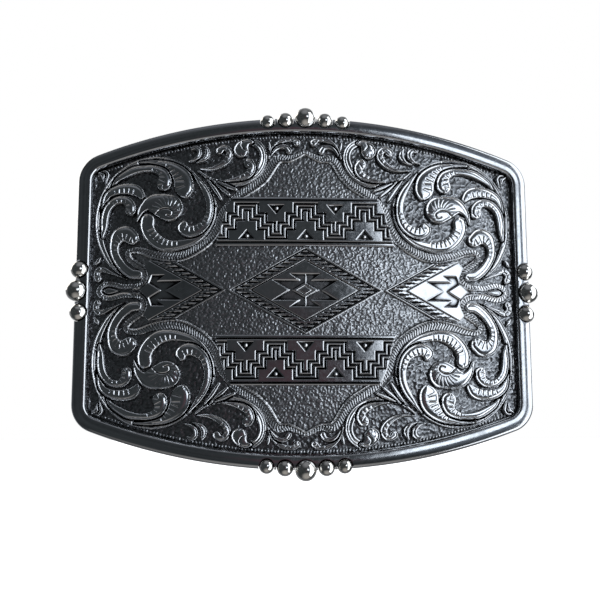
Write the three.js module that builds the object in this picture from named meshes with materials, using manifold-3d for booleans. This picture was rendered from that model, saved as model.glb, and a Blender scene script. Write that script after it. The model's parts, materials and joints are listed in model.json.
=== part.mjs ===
// Western dress belt buckle: a bowed plate with a raised rim, soldered balls, scroll overlays, a hinged
// belt loop (bail) and a belt hook behind. Millimetres. +Z is up and -Y is the front as worn, +X is to the
// viewer's right, and the origin is the centre of the back plate's rear face.
import * as THREE from "three";
import { mergeVertices } from "three/addons/utils/BufferGeometryUtils.js";
import Module from "manifold-3d";

const wasm = await Module();
wasm.setup();

// Outline: straight sides, arched top and bottom, round corners.
const HALF_WIDTH = 43.1;
const HALF_HEIGHT = 33.2;
const ARCH_RADIUS = 115;
const CORNER_RADIUS = 5.3;

// Bow about the vertical axis: flat strips between knots, tangent to y = x^2 / (2 BOW_RADIUS).
const BOW_RADIUS = 308;
const STRIP_WIDTH = 12;
const FIRST_KNOT = 6;
const KNOT_SNAP = 0.05;

// Layers, given as front and rear y at the centre strip.
const BACK_PLATE = { front: -1.4, rear: 0, inset: 0.35 };
const GROUND = { front: -2.25, rear: -1.45 };
const RIM = { front: -4, rear: -1.45, width: 2.7 };
const PANEL = { front: -2.75, rear: -2.3 };
const BAND = { front: -3.15, rear: -2.8 };
const SCROLL = { front: -3.45, rear: -2.3 };
const PLATE_GAP = 0.1;

// Front of the rim, from its outer wall to its inner one, as [inset, distance behind the rim's front].
const RIM_CROWN = [
  [0, 0.75],
  [0.55, 0.1],
  [1.3, 0],
  [2.3, 0.1],
  [RIM.width, 0.5],
];

// Soldered balls: large one in the middle of each group, smaller ones beside it.
const BALL_REAR_Y = -1.5;
const BALL_SEAT_GAP = 0.1;
const BALL_SIDES = 12;
const TOP_BALLS = [
  { name: "centre", across: 0, inward: 0.07, radius: 1.97 },
  { name: "inner_right", across: 3.78, inward: 0.5, radius: 1.53 },
  { name: "inner_left", across: -3.78, inward: 0.5, radius: 1.53 },
  { name: "outer_right", across: 7.15, inward: 0.82, radius: 1.4 },
  { name: "outer_left", across: -7.15, inward: 0.82, radius: 1.4 },
];
const SIDE_BALLS = [
  { name: "centre", across: 0, inward: 0.32, radius: 2 },
  { name: "upper", across: 4.05, inward: 0.78, radius: 1.68 },
  { name: "lower", across: -4.05, inward: 0.78, radius: 1.68 },
];

// Pattern: stepped bands above and below a row of diamonds.
const BAND_LOW = 8.42;
const BAND_HIGH = 17.4;
const DIAMOND_CROSSING = 14.72;
const DIAMOND_HALF_HEIGHT = 8.3;
const DIAMOND_END_GAP = 0.2;
const HALF_DIAMOND_SHOULDER = 22.6;
const HALF_DIAMOND_END = [
  [28.8, 5.6],
  [29.2, 1.6],
  [31.6, 0],
];

// Hinge of the belt loop.
const HINGE_X = 14;
const TUBE_RADIUS = 2.1;
const TUBE_BORE = 1.7;
const TUBE_HALF_LENGTH = 17;
const TUBE_LIFT = 0.1;
const WIRE_RADIUS = 1.4;
const LOOP_HALF_HEIGHT = 21.4;
const LOOP_REACH = 20;
const LOOP_CORNER = 3;
const LOOP_CLEARANCE = 0.12;
const PIN_END = 13;
const SOLDER_GAP = 0.05;

// Belt hook.
const HOOK_X = -31;
const HOOK_WIDTH = 5;
const HOOK_BASE_RADIUS = 4.2;
const HOOK_BASE_THICKNESS = 0.9;
const HOOK_RISE = 7.6;
const HOOK_STEM = 3.4;
const HOOK_NOSE = 6;
const HOOK_NOSE_THICKNESS = 1.9;

const silver = (color, roughness) =>
  new THREE.MeshStandardMaterial({ color, roughness, metalness: 1 });
const darkSilver = silver(0x3a3c40, 0.42);
const groundSilver = silver(0x26272a, 0.6);
const reliefSilver = silver(0x5a5d62, 0.3);
const panelSilver = silver(0x34363a, 0.4);
const ballSilver = silver(0x9a9691, 0.18);
const steel = silver(0x8c8e90, 0.3);

const buckle = new THREE.Group();

function addPiece(name, geometry, material) {
  const mesh = new THREE.Mesh(geometry, material);
  mesh.name = name;
  buckle.add(mesh);
  return mesh;
}

// ---- Bow ----

function bowAtKnot(x) {
  return Math.max(0, x * x - FIRST_KNOT * FIRST_KNOT) / (2 * BOW_RADIUS);
}

function bowAt(x) {
  const distance = Math.abs(x);
  if (distance <= FIRST_KNOT) return 0;
  const strip = Math.floor((distance - FIRST_KNOT) / STRIP_WIDTH);
  const near = FIRST_KNOT + strip * STRIP_WIDTH;
  const share = (distance - near) / STRIP_WIDTH;
  return THREE.MathUtils.lerp(bowAtKnot(near), bowAtKnot(near + STRIP_WIDTH), share);
}

// The part of a polygon on one side of the plane x = knot.
function clipAtKnot(corners, knot, side) {
  const kept = [];
  corners.forEach((corner, i) => {
    const next = corners[(i + 1) % corners.length];
    const here = (corner.x - knot) * side;
    const there = (next.x - knot) * side;
    if (here >= 0) kept.push(corner);
    if (here * there < 0) {
      const [low, high] = corner.x < next.x ? [corner, next] : [next, corner];
      const cut = low.clone().lerp(high, (knot - low.x) / (high.x - low.x));
      kept.push(cut.setX(knot));
    }
  });
  return kept;
}

// Triangles of a polygon cut at one strip edge.
function splitAtKnot(face, knot) {
  if (face.every((p) => p.x <= knot) || face.every((p) => p.x >= knot)) return [face];
  const parts = [clipAtKnot(face, knot, -1), clipAtKnot(face, knot, 1)];
  return parts.flatMap((part) => part.slice(2).map((corner, k) => [part[0], part[k + 1], corner]));
}

function snapToKnot(corner) {
  const steps = Math.round((Math.abs(corner.x) - FIRST_KNOT) / STRIP_WIDTH);
  const knot = Math.sign(corner.x) * (FIRST_KNOT + steps * STRIP_WIDTH);
  if (Math.abs(corner.x - knot) < KNOT_SNAP) corner.x = knot;
  return corner;
}

// Splits every triangle at the strip edges, then shifts each corner rearwards by the bow.
function bend(geometry) {
  let faces = [];
  const flat = geometry.index ? geometry.toNonIndexed() : geometry;
  const place = flat.getAttribute("position");
  const corner = (i) => snapToKnot(new THREE.Vector3().fromBufferAttribute(place, i));
  for (let i = 0; i < place.count; i += 3) faces.push([corner(i), corner(i + 1), corner(i + 2)]);
  for (let knot = FIRST_KNOT; knot < HALF_WIDTH; knot += STRIP_WIDTH) {
    for (const edge of [-knot, knot]) faces = faces.flatMap((face) => splitAtKnot(face, edge));
  }
  const points = faces.flat().map((p) => new THREE.Vector3(p.x, p.y + bowAt(p.x), p.z));
  return new THREE.BufferGeometry().setFromPoints(points);
}

// ---- Outlines and plates ----

// The buckle's outline, moved inwards by inset, as a closed list of points.
function bucklePoints(inset, cornerSteps = 4, archSteps = 14) {
  const width = HALF_WIDTH - inset;
  const arch = ARCH_RADIUS - inset;
  const corner = CORNER_RADIUS - inset;
  const archCentre = HALF_HEIGHT - ARCH_RADIUS;
  const cornerX = width - corner;
  const cornerZ = archCentre + Math.sqrt((arch - corner) ** 2 - cornerX ** 2);
  const turn = Math.atan2(cornerZ - archCentre, cornerX);
  const upper = [];
  for (let i = 0; i < cornerSteps; i++) {
    const angle = (turn * i) / cornerSteps;
    upper.push([cornerX + corner * Math.cos(angle), cornerZ + corner * Math.sin(angle)]);
  }
  for (let i = 0; i <= archSteps / 2; i++) {
    const angle = THREE.MathUtils.lerp(turn, Math.PI / 2, (2 * i) / archSteps);
    upper.push([arch * Math.cos(angle), archCentre + arch * Math.sin(angle)]);
  }
  const left = upper.slice(0, -1).reverse().map(([x, z]) => [-x, z]);
  const top = upper.concat(left);
  return top.concat(top.map(([x, z]) => [-x, -z]));
}

// A path through [x, z] points, turned clockwise or the other way.
function turned(points, clockwise) {
  const path = points.map(([x, z]) => new THREE.Vector2(x, z));
  return THREE.ShapeUtils.isClockWise(path) === clockwise ? path : path.reverse();
}

// A flat plate cut to an outline, with optional holes. Shape y becomes Z and its depth runs to the front.
function plate(outline, layer, holes = []) {
  const shape = new THREE.Shape(turned(outline, false));
  shape.holes = holes.map((hole) => new THREE.Path(turned(hole, true)));
  const geometry = new THREE.ExtrudeGeometry(shape, {
    depth: layer.rear - layer.front,
    bevelEnabled: false,
  });
  return geometry.rotateX(Math.PI / 2).translate(0, layer.rear, 0);
}

// A closed ring whose section is a list of [inset, y] corners.
function ring(section) {
  const loops = section.map(([inset, y]) => bucklePoints(inset).map(([x, z]) => [x, y, z]));
  const points = [];
  loops.forEach((loop, s) => {
    const nextLoop = loops[(s + 1) % loops.length];
    loop.forEach((corner, i) => {
      const after = (i + 1) % loop.length;
      const quad = [corner, loop[after], nextLoop[after], nextLoop[i]];
      for (const k of [0, 1, 2, 0, 2, 3]) points.push(new THREE.Vector3(...quad[k]));
    });
  });
  return new THREE.BufferGeometry().setFromPoints(points);
}

// A smooth closed outline through a few points.
function smoothOutline(points, stepsPerPoint = 2) {
  const curve = new THREE.CatmullRomCurve3(
    points.map(([x, z]) => new THREE.Vector3(x, 0, z)),
    true,
    "centripetal",
  );
  return curve.getPoints(points.length * stepsPerPoint).slice(0, -1).map((p) => [p.x, p.z]);
}

// ---- Cuts and joins ----

function toSolid(geometry) {
  const bare = new THREE.BufferGeometry();
  bare.setAttribute("position", geometry.getAttribute("position"));
  if (geometry.index) bare.setIndex(geometry.index);
  const merged = mergeVertices(bare, 1e-4);
  return new wasm.Manifold(
    new wasm.Mesh({
      numProp: 3,
      vertProperties: merged.getAttribute("position").array,
      triVerts: new Uint32Array(merged.index.array),
    }),
  );
}

function toGeometry(solid) {
  const mesh = solid.getMesh();
  const geometry = new THREE.BufferGeometry();
  geometry.setAttribute("position", new THREE.BufferAttribute(mesh.vertProperties, 3));
  return geometry.setIndex(new THREE.BufferAttribute(mesh.triVerts, 1));
}

function subtract(geometry, cutters) {
  let solid = toSolid(geometry);
  for (const cutter of cutters) solid = solid.subtract(toSolid(cutter));
  return toGeometry(solid);
}

// ---- Soldered balls ----

function ballPlaces() {
  const places = [];
  for (const [edge, side] of [["top", 1], ["bottom", -1]]) {
    for (const ball of TOP_BALLS) {
      const z = side * (HALF_HEIGHT - ball.inward);
      places.push({ name: `ball_${edge}_${ball.name}`, x: ball.across, z, radius: ball.radius });
    }
  }
  for (const [edge, side] of [["right", 1], ["left", -1]]) {
    for (const ball of SIDE_BALLS) {
      const x = side * (HALF_WIDTH - ball.inward);
      places.push({ name: `ball_${edge}_${ball.name}`, x, z: ball.across, radius: ball.radius });
    }
  }
  return places;
}

function makeBalls() {
  const rings = 8;
  for (const { name, x, z, radius } of ballPlaces()) {
    const mesh = addPiece(name, new THREE.SphereGeometry(radius, BALL_SIDES, rings), ballSilver);
    mesh.position.set(x, BALL_REAR_Y - radius + bowAt(x), z);
  }
}

// Round notches in the rim, one for each ball.
function ballSeats() {
  const height = 8;
  return ballPlaces().map(({ x, z, radius }) => {
    const seat = radius + BALL_SEAT_GAP;
    const cutter = new THREE.CylinderGeometry(seat, seat, height, BALL_SIDES);
    return cutter.translate(x, (RIM.front + RIM.rear) / 2, z);
  });
}

// ---- Plates and rim ----

function makePlates() {
  addPiece("back_plate", bend(plate(bucklePoints(BACK_PLATE.inset), BACK_PLATE)), darkSilver);
  const groundInset = RIM.width + PLATE_GAP;
  addPiece("ground_plate", bend(plate(bucklePoints(groundInset), GROUND)), groundSilver);
  const crown = RIM_CROWN.map(([inset, behind]) => [inset, RIM.front + behind]);
  const rimSection = [[0, RIM.rear], ...crown, [RIM.width, RIM.rear]];
  const rim = subtract(ring(rimSection), ballSeats());
  addPiece("rim_frame", bend(rim), darkSilver);
}

// ---- Centre panel ----

// Mirrors the points of one quarter (from the top middle to the left middle) into a closed outline.
function fourfold(quarter) {
  const lowerLeft = quarter.slice(0, -1).reverse().map(([x, z]) => [x, -z]);
  const left = quarter.concat(lowerLeft);
  const right = left.slice(1, -1).reverse().map(([x, z]) => [-x, z]);
  return left.concat(right);
}

const PANEL_QUARTER = [
  [0, 27.3],
  [-2.4, 26],
  [-4.8, 26.2],
  [-6.5, 24.6],
  [-8.2, 22.2],
  [-10.4, 20.3],
  [-13, 19.2],
  [-14.9, 17.6],
  [-16.1, 15.5],
  [-16.5, 13],
  [-17.6, 10.9],
  [-19.3, 9],
  [-21.4, 7.7],
  [-24, 6.9],
  [-27, 6.9],
  [-29.5, 7.7],
  [-30.9, 8.2],
  [-32.4, 8.1],
  [-33.9, 8.4],
  [-34.6, 7.3],
  [-33.8, 5.8],
  [-32.1, 4.6],
  [-30.3, 4],
  [-30, 2.6],
  [-30.9, 1.5],
  [-33, 0.9],
  [-33.9, 0],
];

function makePanel() {
  addPiece("pattern_plate", bend(plate(fourfold(PANEL_QUARTER), PANEL)), panelSilver);
  const bandQuarter = [
    [-17.1, BAND_LOW],
    [-16.2, 11],
    [-15.7, 13.4],
    [-15.2, 15.4],
    [-13.9, BAND_HIGH],
  ];
  const bandRight = bandQuarter.slice().reverse().map(([x, z]) => [-x, z]);
  for (const [name, side] of [["upper", 1], ["lower", -1]]) {
    const outline = bandQuarter.concat(bandRight).map(([x, z]) => [x, side * z]);
    addPiece(`${name}_step_band`, bend(plate(outline, BAND)), panelSilver);
  }
  const reach = DIAMOND_CROSSING - DIAMOND_END_GAP;
  const slope = DIAMOND_HALF_HEIGHT / reach;
  const rhombus = [
    [reach, 0],
    [0, DIAMOND_HALF_HEIGHT],
    [-reach, 0],
    [0, -DIAMOND_HALF_HEIGHT],
  ];
  addPiece("centre_diamond", bend(plate(rhombus, BAND)), panelSilver);
  const tip = DIAMOND_CROSSING + DIAMOND_END_GAP;
  const shoulder = [HALF_DIAMOND_SHOULDER, (HALF_DIAMOND_SHOULDER - tip) * slope];
  const half = [shoulder, ...HALF_DIAMOND_END];
  const lowerHalf = half.slice(0, -1).reverse().map(([x, z]) => [x, -z]);
  for (const [name, side] of [["left", -1], ["right", 1]]) {
    const outline = [[tip, 0]].concat(half, lowerHalf).map(([x, z]) => [side * x, z]);
    addPiece(`${name}_diamond`, bend(plate(outline, BAND)), panelSilver);
  }
}

// ---- Scroll overlays, drawn for the upper left quarter ----

const CORNER_SCROLL = {
  outline: [
    [-30.5, 3],
    [-31.8, 2.1],
    [-34.3, 2.6],
    [-36.9, 4.6],
    [-38.9, 9.2],
    [-39.5, 14],
    [-38.7, 18.2],
    [-36.3, 22.1],
    [-32.9, 25],
    [-29, 26],
    [-24.8, 25.5],
    [-20.7, 23.5],
    [-17.9, 20.2],
    [-16.7, 16.3],
    [-17.3, 12.8],
    [-19.7, 9.75],
    [-23.6, 7.5],
    [-27.6, 7.7],
    [-30.2, 9.6],
    [-31.2, 9.2],
    [-32.75, 8.65],
    [-34.3, 9.2],
    [-35.1, 7.3],
    [-33.3, 4.8],
    [-31, 3.9],
  ],
  holes: [
    [[-37.7, 12.9], [-37.2, 15.2], [-35.9, 16.2], [-34.5, 15.6], [-32.6, 13.4], [-35.3, 12.3], [-37.1, 10.6]],
    [[-34.3, 20.9], [-31.4, 22.9], [-28.3, 22.2], [-28.4, 19.2], [-29.6, 18], [-31.2, 20.2]],
    [[-20.7, 20.9], [-19.4, 16.8], [-19.8, 13.2], [-22, 12.5], [-23.2, 15], [-22.9, 17.6], [-21.3, 19.2]],
    [[-28.4, 13.6], [-27.9, 11.2], [-25.4, 10], [-24.7, 12.5], [-26.6, 12.6]],
  ],
};

const CREST_SCROLL = {
  outline: [
    [-22.3, 25.6],
    [-20.6, 26.8],
    [-21.9, 27.6],
    [-20.4, 28.3],
    [-18.6, 27.6],
    [-18.9, 25.6],
    [-17.6, 24.5],
    [-15.8, 25],
    [-15.6, 26.2],
    [-16.9, 27.1],
    [-15.4, 28.3],
    [-13.8, 27.5],
    [-12.8, 29.1],
    [-10.6, 29.6],
    [-8.2, 28.3],
    [-7.4, 26.1],
    [-8.2, 23.3],
    [-10.8, 21.1],
    [-14.2, 20.3],
    [-16.9, 20.9],
    [-19.3, 23.6],
    [-21.6, 25.1],
  ],
  holes: [[[-16.6, 23.2], [-14.2, 24.5], [-12.6, 25.3], [-11.7, 23.8], [-13.2, 22.4]]],
};

const PEAK_CURL = {
  outline: [
    [-6.9, 25.9],
    [-5.8, 28],
    [-3.7, 29.5],
    [-1.6, 29.4],
    [-0.9, 28.4],
    [-1.8, 27.7],
    [-3, 28.4],
    [-2.9, 27],
    [-3.9, 26.7],
    [-4.9, 27],
  ],
};

const CORNER_LEAF = {
  outline: [
    [-38.1, 20.6],
    [-37.1, 22.6],
    [-37.9, 23.2],
    [-39.2, 22.6],
  ],
};

const SIDE_CURL = [
  [-38.9, 1.7],
  [-39.8, 2.9],
  [-39.6, 4.2],
  [-38.3, 4.7],
  [-37.2, 4.1],
  [-38, 3.4],
];

function makeScrolls() {
  const overlays = { corner_scroll: CORNER_SCROLL, crest_scroll: CREST_SCROLL, peak_curl: PEAK_CURL };
  overlays.corner_leaf = CORNER_LEAF;
  for (const [row, up] of [["upper", 1], ["lower", -1]]) {
    for (const [column, across] of [["left", 1], ["right", -1]]) {
      for (const [name, { outline, holes = [] }] of Object.entries(overlays)) {
        const place = (points) => smoothOutline(points).map(([x, z]) => [x * across, z * up]);
        const solid = plate(place(outline), SCROLL, holes.map(place));
        addPiece(`${name}_${row}_${column}`, bend(solid), reliefSilver);
      }
    }
  }
}

// The ribbed petal with its two small curls, between the tails of the corner scrolls.
function makeMedallions() {
  const upper = SIDE_CURL.slice().reverse();
  const lower = SIDE_CURL.map(([x, z]) => [x, -z]);
  const petal = [[-35.2, 1.1], [-36.6, 1.9]];
  const half = petal.concat(upper);
  const otherHalf = lower.concat(petal.slice().reverse().map(([x, z]) => [x, -z]));
  const outline = smoothOutline([[-34.3, 0]].concat(half, otherHalf));
  for (const [name, side] of [["left", 1], ["right", -1]]) {
    const solid = plate(outline.map(([x, z]) => [side * x, z]), SCROLL);
    addPiece(`${name}_medallion`, bend(solid), reliefSilver);
  }
}

// ---- Belt loop and its hinge ----

const hingeY = bowAt(HINGE_X) + SOLDER_GAP + TUBE_RADIUS + TUBE_LIFT;
const barX = HINGE_X + LOOP_REACH;
const loopRise = bowAt(barX + WIRE_RADIUS) + WIRE_RADIUS + LOOP_CLEARANCE - hingeY;
const loopTilt = Math.atan2(loopRise, LOOP_REACH);

function makeHingeTube() {
  const sides = 24;
  const length = 2 * TUBE_HALF_LENGTH;
  const tube = new THREE.CylinderGeometry(TUBE_RADIUS, TUBE_RADIUS, length, sides).rotateX(Math.PI / 2);
  const bore = new THREE.CylinderGeometry(TUBE_BORE, TUBE_BORE, length + 2, sides).rotateX(Math.PI / 2);
  const footWidth = 2.6;
  const foot = new THREE.BoxGeometry(footWidth, hingeY - bowAt(HINGE_X) - SOLDER_GAP, length - 2);
  foot.translate(HINGE_X, (hingeY - bowAt(HINGE_X) + SOLDER_GAP) / 2, 0);
  const place = (geometry) => toSolid(geometry.translate(HINGE_X, hingeY, 0));
  const solid = toSolid(bend(foot)).add(place(tube)).subtract(place(bore));
  addPiece("hinge_tube", toGeometry(solid), steel);
}

// Round wire bent to a rectangle, its two ends turned in to run inside the hinge tube.
function makeBail() {
  const path = new THREE.CurvePath();
  const corner = LOOP_CORNER;
  const spots = [
    [0, PIN_END],
    [0, LOOP_HALF_HEIGHT],
    [LOOP_REACH, LOOP_HALF_HEIGHT],
    [LOOP_REACH, -LOOP_HALF_HEIGHT],
    [0, -LOOP_HALF_HEIGHT],
    [0, -PIN_END],
  ].map(([x, z]) => new THREE.Vector3(x, 0, z));
  let from = spots[0];
  for (let i = 1; i < spots.length - 1; i++) {
    const before = spots[i].clone().add(spots[i - 1].clone().sub(spots[i]).setLength(corner));
    const after = spots[i].clone().add(spots[i + 1].clone().sub(spots[i]).setLength(corner));
    path.add(new THREE.LineCurve3(from, before));
    path.add(new THREE.QuadraticBezierCurve3(before, spots[i], after));
    from = after;
  }
  path.add(new THREE.LineCurve3(from, spots.at(-1)));
  const section = new THREE.Shape().absarc(0, 0, WIRE_RADIUS, 0, 2 * Math.PI);
  const wire = new THREE.ExtrudeGeometry(section, {
    steps: 44,
    curveSegments: 5,
    bevelEnabled: false,
    extrudePath: path,
  });
  const bail = addPiece("bail", wire, steel);
  bail.position.set(HINGE_X, hingeY, 0);
  bail.rotation.z = loopTilt;
}

// ---- Belt hook ----

function makeHook() {
  const disc = new THREE.CylinderGeometry(HOOK_BASE_RADIUS, HOOK_BASE_RADIUS, HOOK_BASE_THICKNESS, 24);
  disc.translate(HOOK_X, SOLDER_GAP + HOOK_BASE_THICKNESS / 2, 0);
  addPiece("hook_base", bend(disc), steel);

  // Side view: a stem that turns outwards into a rounded nose.
  const foot = 2 * SOLDER_GAP + HOOK_BASE_THICKNESS;
  const inner = HOOK_X - HOOK_STEM / 2;
  const outer = HOOK_X + HOOK_STEM / 2;
  const nose = inner - HOOK_NOSE;
  const top = foot + HOOK_RISE;
  const tipRadius = HOOK_NOSE_THICKNESS / 2;
  const throatRadius = 0.8;
  const backRadius = 2.2;
  const side = new THREE.Shape();
  side.moveTo(inner, foot);
  side.lineTo(outer, foot);
  side.lineTo(outer, top - backRadius);
  side.absarc(outer - backRadius, top - backRadius, backRadius, 0, Math.PI / 2);
  side.lineTo(nose + tipRadius, top);
  side.absarc(nose + tipRadius, top - tipRadius, tipRadius, Math.PI / 2, 1.5 * Math.PI);
  side.lineTo(inner - throatRadius, top - HOOK_NOSE_THICKNESS);
  const throatTop = top - HOOK_NOSE_THICKNESS - throatRadius;
  side.absarc(inner - throatRadius, throatTop, throatRadius, Math.PI / 2, 0, true);
  const hook = new THREE.ExtrudeGeometry(side, {
    depth: HOOK_WIDTH,
    bevelEnabled: false,
    curveSegments: 6,
  });
  addPiece("hook_post", bend(hook.translate(0, 0, -HOOK_WIDTH / 2)), steel);
}

makePlates();
makePanel();
makeScrolls();
makeMedallions();
makeBalls();
makeHingeTube();
makeBail();
makeHook();

export default buckle;
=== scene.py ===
"""Looks for the western belt buckle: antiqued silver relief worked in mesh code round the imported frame.

The front is drawn as relief: strokes and cut lines raise or lower a grid of heights, and each piece is cut
from that grid as a closed mesh. Sizes are in millimetres until a mesh is made. A height is measured from the
rear face of the back plate towards the front (-Y), before the plate's bow.
"""

import json
import math

import bmesh
import bpy
import numpy as np
from mathutils import Matrix, Vector, geometry


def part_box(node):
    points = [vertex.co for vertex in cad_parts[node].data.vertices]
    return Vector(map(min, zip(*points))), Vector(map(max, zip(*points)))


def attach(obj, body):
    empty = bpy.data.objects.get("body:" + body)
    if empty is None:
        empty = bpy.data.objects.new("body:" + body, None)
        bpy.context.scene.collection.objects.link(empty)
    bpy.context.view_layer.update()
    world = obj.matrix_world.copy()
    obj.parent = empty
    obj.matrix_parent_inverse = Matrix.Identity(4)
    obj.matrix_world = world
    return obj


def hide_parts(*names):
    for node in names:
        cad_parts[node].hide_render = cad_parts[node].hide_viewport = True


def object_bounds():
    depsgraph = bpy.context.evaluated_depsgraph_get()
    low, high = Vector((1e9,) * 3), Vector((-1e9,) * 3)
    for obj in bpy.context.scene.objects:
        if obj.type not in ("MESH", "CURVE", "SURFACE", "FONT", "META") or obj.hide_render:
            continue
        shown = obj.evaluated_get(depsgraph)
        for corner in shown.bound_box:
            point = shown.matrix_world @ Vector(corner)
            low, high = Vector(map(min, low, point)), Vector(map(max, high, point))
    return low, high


MM = 0.001

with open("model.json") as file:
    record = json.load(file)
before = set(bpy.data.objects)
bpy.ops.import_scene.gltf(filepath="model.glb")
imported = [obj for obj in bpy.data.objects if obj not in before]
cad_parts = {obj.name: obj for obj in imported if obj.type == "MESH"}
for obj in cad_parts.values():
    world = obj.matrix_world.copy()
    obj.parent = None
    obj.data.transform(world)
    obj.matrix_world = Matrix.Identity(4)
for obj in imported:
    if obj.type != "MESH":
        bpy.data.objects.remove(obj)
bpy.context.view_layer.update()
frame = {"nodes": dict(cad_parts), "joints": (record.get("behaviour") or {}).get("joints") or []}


# ---- What the frame says ----


def low_mm(node):
    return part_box(node)[0] / MM


def high_mm(node):
    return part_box(node)[1] / MM


def front_of(node):
    """Height of a node's front face; only for nodes that reach the centre strip."""
    return -low_mm(node).y


GROUND_TOP = front_of("ground_plate")
PANEL_TOP = front_of("pattern_plate")
BAND_TOP = front_of("centre_diamond")
SCROLL_TOP = front_of("peak_curl_upper_left")
RIM_TOP = front_of("rim_frame")
BACK_TOP = front_of("back_plate")

HALF_WIDTH = high_mm("rim_frame").x
HALF_HEIGHT = high_mm("rim_frame").z
BACK_INSET = HALF_WIDTH - high_mm("back_plate").x
GROUND_INSET = HALF_WIDTH - high_mm("ground_plate").x
RIM_WIDTH = GROUND_INSET - 0.1
ARCH_RADIUS = 115
CORNER_RADIUS = 5.3
BOW_RADIUS = high_mm("back_plate").x ** 2 / (2 * high_mm("back_plate").y)

BAND_LOW = low_mm("upper_step_band").z
BAND_HIGH = high_mm("upper_step_band").z
CROSSING = 14.72

GROUND_SINK = 0.06
GROUND_RELIEF = 0.12
PANEL_SEAT = PANEL_TOP - 0.3
PANEL_FLOOR = PANEL_TOP - 0.2
SCROLL_SEAT = GROUND_TOP - 0.1


def bow(x):
    """How far the plate's bow sets a point back."""
    return x**2 / (2 * BOW_RADIUS)


# ---- Fields ----


def ramp(value):
    value = np.clip(value, 0, 1)
    return value * value * (3 - 2 * value)


def bump(distance, half_width):
    """1 on a line, falling softly to 0 beyond half_width."""
    return np.exp(-((distance / half_width) ** 2) * 1.6)


def grid(low_x, high_x, low_z, high_z, pitch):
    xs = np.arange(math.floor(low_x / pitch), math.ceil(high_x / pitch) + 1) * pitch
    zs = np.arange(math.floor(low_z / pitch), math.ceil(high_z / pitch) + 1) * pitch
    return np.meshgrid(xs, zs, indexing="ij")


def noise(x, z, size, seed):
    """Smooth noise from -1 to 1 with features of about the given size."""
    table = np.random.default_rng(seed).uniform(-1, 1, (256, 256))
    u = x / size + 97.3
    v = z / size + 41.7
    i = np.floor(u).astype(int)
    j = np.floor(v).astype(int)
    a = ramp(u - i)
    b = ramp(v - j)
    at = lambda di, dj: table[(i + di) % 256, (j + dj) % 256]
    near = at(0, 0) * (1 - a) + at(1, 0) * a
    far = at(0, 1) * (1 - a) + at(1, 1) * a
    return near * (1 - b) + far * b


def blur(field, cells):
    """Box blur, run twice, over 2 * cells + 1 grid points each way."""
    for axis in (0, 1, 0, 1):
        pad = [(cells + 1, cells) if a == axis else (0, 0) for a in (0, 1)]
        total = np.cumsum(np.pad(field, pad, mode="edge"), axis=axis)
        ahead = total[2 * cells + 1 :] if axis == 0 else total[:, 2 * cells + 1 :]
        behind = total[: -2 * cells - 1] if axis == 0 else total[:, : -2 * cells - 1]
        field = (ahead - behind) / (2 * cells + 1)
    return field


def polygon_depth(points, x, z):
    """Distance inside a closed outline, negative outside."""
    inside = np.zeros(x.shape, bool)
    nearest = np.full(x.shape, 1e9)
    for (ax, az), (bx, bz) in zip(points, points[1:] + points[:1]):
        dx = bx - ax
        dz = bz - az
        t = np.clip(((x - ax) * dx + (z - az) * dz) / (dx * dx + dz * dz), 0, 1)
        nearest = np.minimum(nearest, np.hypot(x - ax - t * dx, z - az - t * dz))
        if dz:
            crosses = ((az > z) != (bz > z)) & (x < ax + dx * (z - az) / dz)
            inside ^= crosses
    return np.where(inside, nearest, -nearest)


def smooth_path(points, spacing=0.1):
    """Dense samples of a smooth curve through control points, with all their columns."""
    p = np.array(points, float)
    p = np.vstack([2 * p[0] - p[1], p, 2 * p[-1] - p[-2]])
    rows = []
    for a, b, c, d in zip(p[:-3], p[1:-2], p[2:-1], p[3:]):
        count = max(2, int(np.hypot(*(c - b)[:2]) / spacing))
        t = np.linspace(0, 1, count, endpoint=False)[:, None]
        curve = 2 * b + (c - a) * t + (2 * a - 5 * b + 4 * c - d) * t**2 + (3 * b - a - 3 * c + d) * t**3
        rows.append(curve / 2)
    rows.append(p[-2:-1])
    return np.vstack(rows)


class Trace:
    """For every grid point: the stroke sample that covers it best."""

    def __init__(self, points, x, z, reach=0.6):
        path = smooth_path(points)
        step = np.gradient(path[:, :2], axis=0)
        heading = step / np.hypot(*step.T)[:, None]
        along = np.concatenate([[0], np.cumsum(np.hypot(*np.diff(path[:, :2], axis=0).T))])
        self.depth = np.full(x.shape, -reach)
        self.along = np.zeros(x.shape)
        self.across = np.zeros(x.shape)
        self.width = np.ones(x.shape)
        self.length = along[-1]
        pitch = x[1, 0] - x[0, 0]
        for k, (cx, cz, w) in enumerate(path):
            r = w + reach
            i = slice(max(0, int((cx - r - x[0, 0]) / pitch)), max(0, int((cx + r - x[0, 0]) / pitch) + 2))
            j = slice(max(0, int((cz - r - z[0, 0]) / pitch)), max(0, int((cz + r - z[0, 0]) / pitch) + 2))
            dx = x[i, j] - cx
            dz = z[i, j] - cz
            distance = np.hypot(dx, dz)
            better = w - distance > self.depth[i, j]
            side = heading[k, 0] * dz - heading[k, 1] * dx
            forward = heading[k, 0] * dx + heading[k, 1] * dz
            place = np.full(dx.shape, along[k])
            if k == len(path) - 1:
                place = place + np.arctan2(np.maximum(forward, 0), np.abs(side)) * w * 0.7
            self.depth[i, j][better] = (w - distance)[better]
            self.along[i, j][better] = place[better]
            self.across[i, j][better] = (np.sign(side) * distance)[better]
            self.width[i, j][better] = w


# ---- Strokes: scroll leaves and stems ----

EDGE_SLOPE = 0.13
LIP = 0.44
LIP_RISE = 0.24
CHANNEL_DEPTH = 0.85
TICK_SPACING = 0.95
TICK_DEPTH = 0.16
TICK_HALF_WIDTH = 0.15
RAY_DEPTH = 0.09
RAY_HALF_WIDTH = 0.14
RAY_TWIST = 0.12


def vee(distance, half_width):
    """1 at the bottom of a line cut with a pointed graver, falling straight to 0 at half_width."""
    return np.clip(1 - np.abs(distance) / half_width, 0, 1)


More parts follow.
